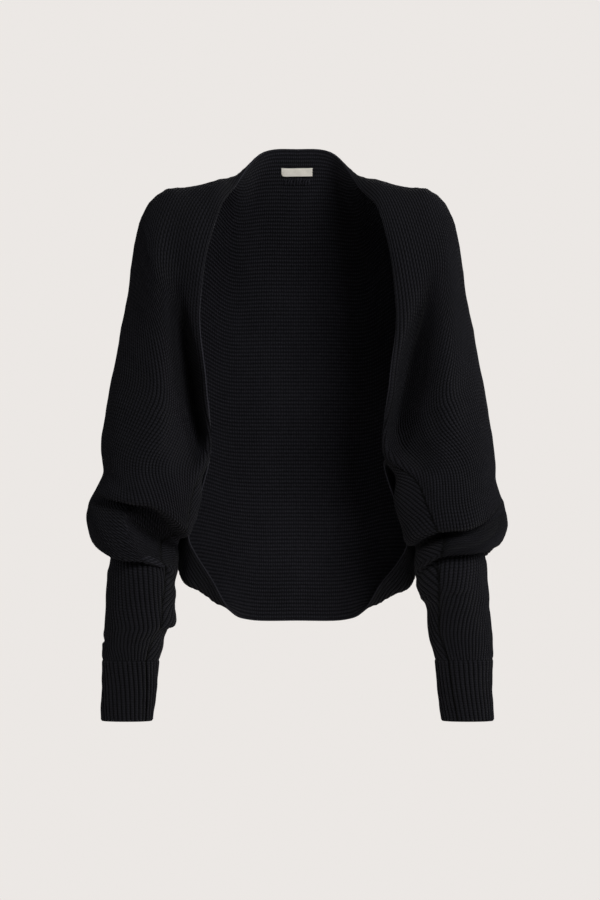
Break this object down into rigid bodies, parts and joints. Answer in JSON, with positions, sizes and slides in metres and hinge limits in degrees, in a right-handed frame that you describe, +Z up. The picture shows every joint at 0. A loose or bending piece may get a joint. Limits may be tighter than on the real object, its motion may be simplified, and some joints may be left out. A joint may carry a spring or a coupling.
{
  "type": "knitted shrug",
  "caption": "Knitted shrug, hollow as it is worn, open in front, with wide sleeves that pile up over the elbows and long ribbed cuffs.",
  "frame": {"origin": "midway between the wearer's shoulder points, where the garment is carried", "axes": "+X towards the wearer's left, +Y towards the wearer's back, +Z up"},
  "size_m": [0.568, 0.2173, 0.7723],
  "materials": {
    "knit": "matt rib knit",
    "label": "matt woven"
  },
  "bodies": {
    "root": {"panel": "knit", "sleeve_left": "knit", "sleeve_right": "knit", "cuff_left": "knit", "cuff_right": "knit", "neck_label": "label"}
  },
  "joints": []
}
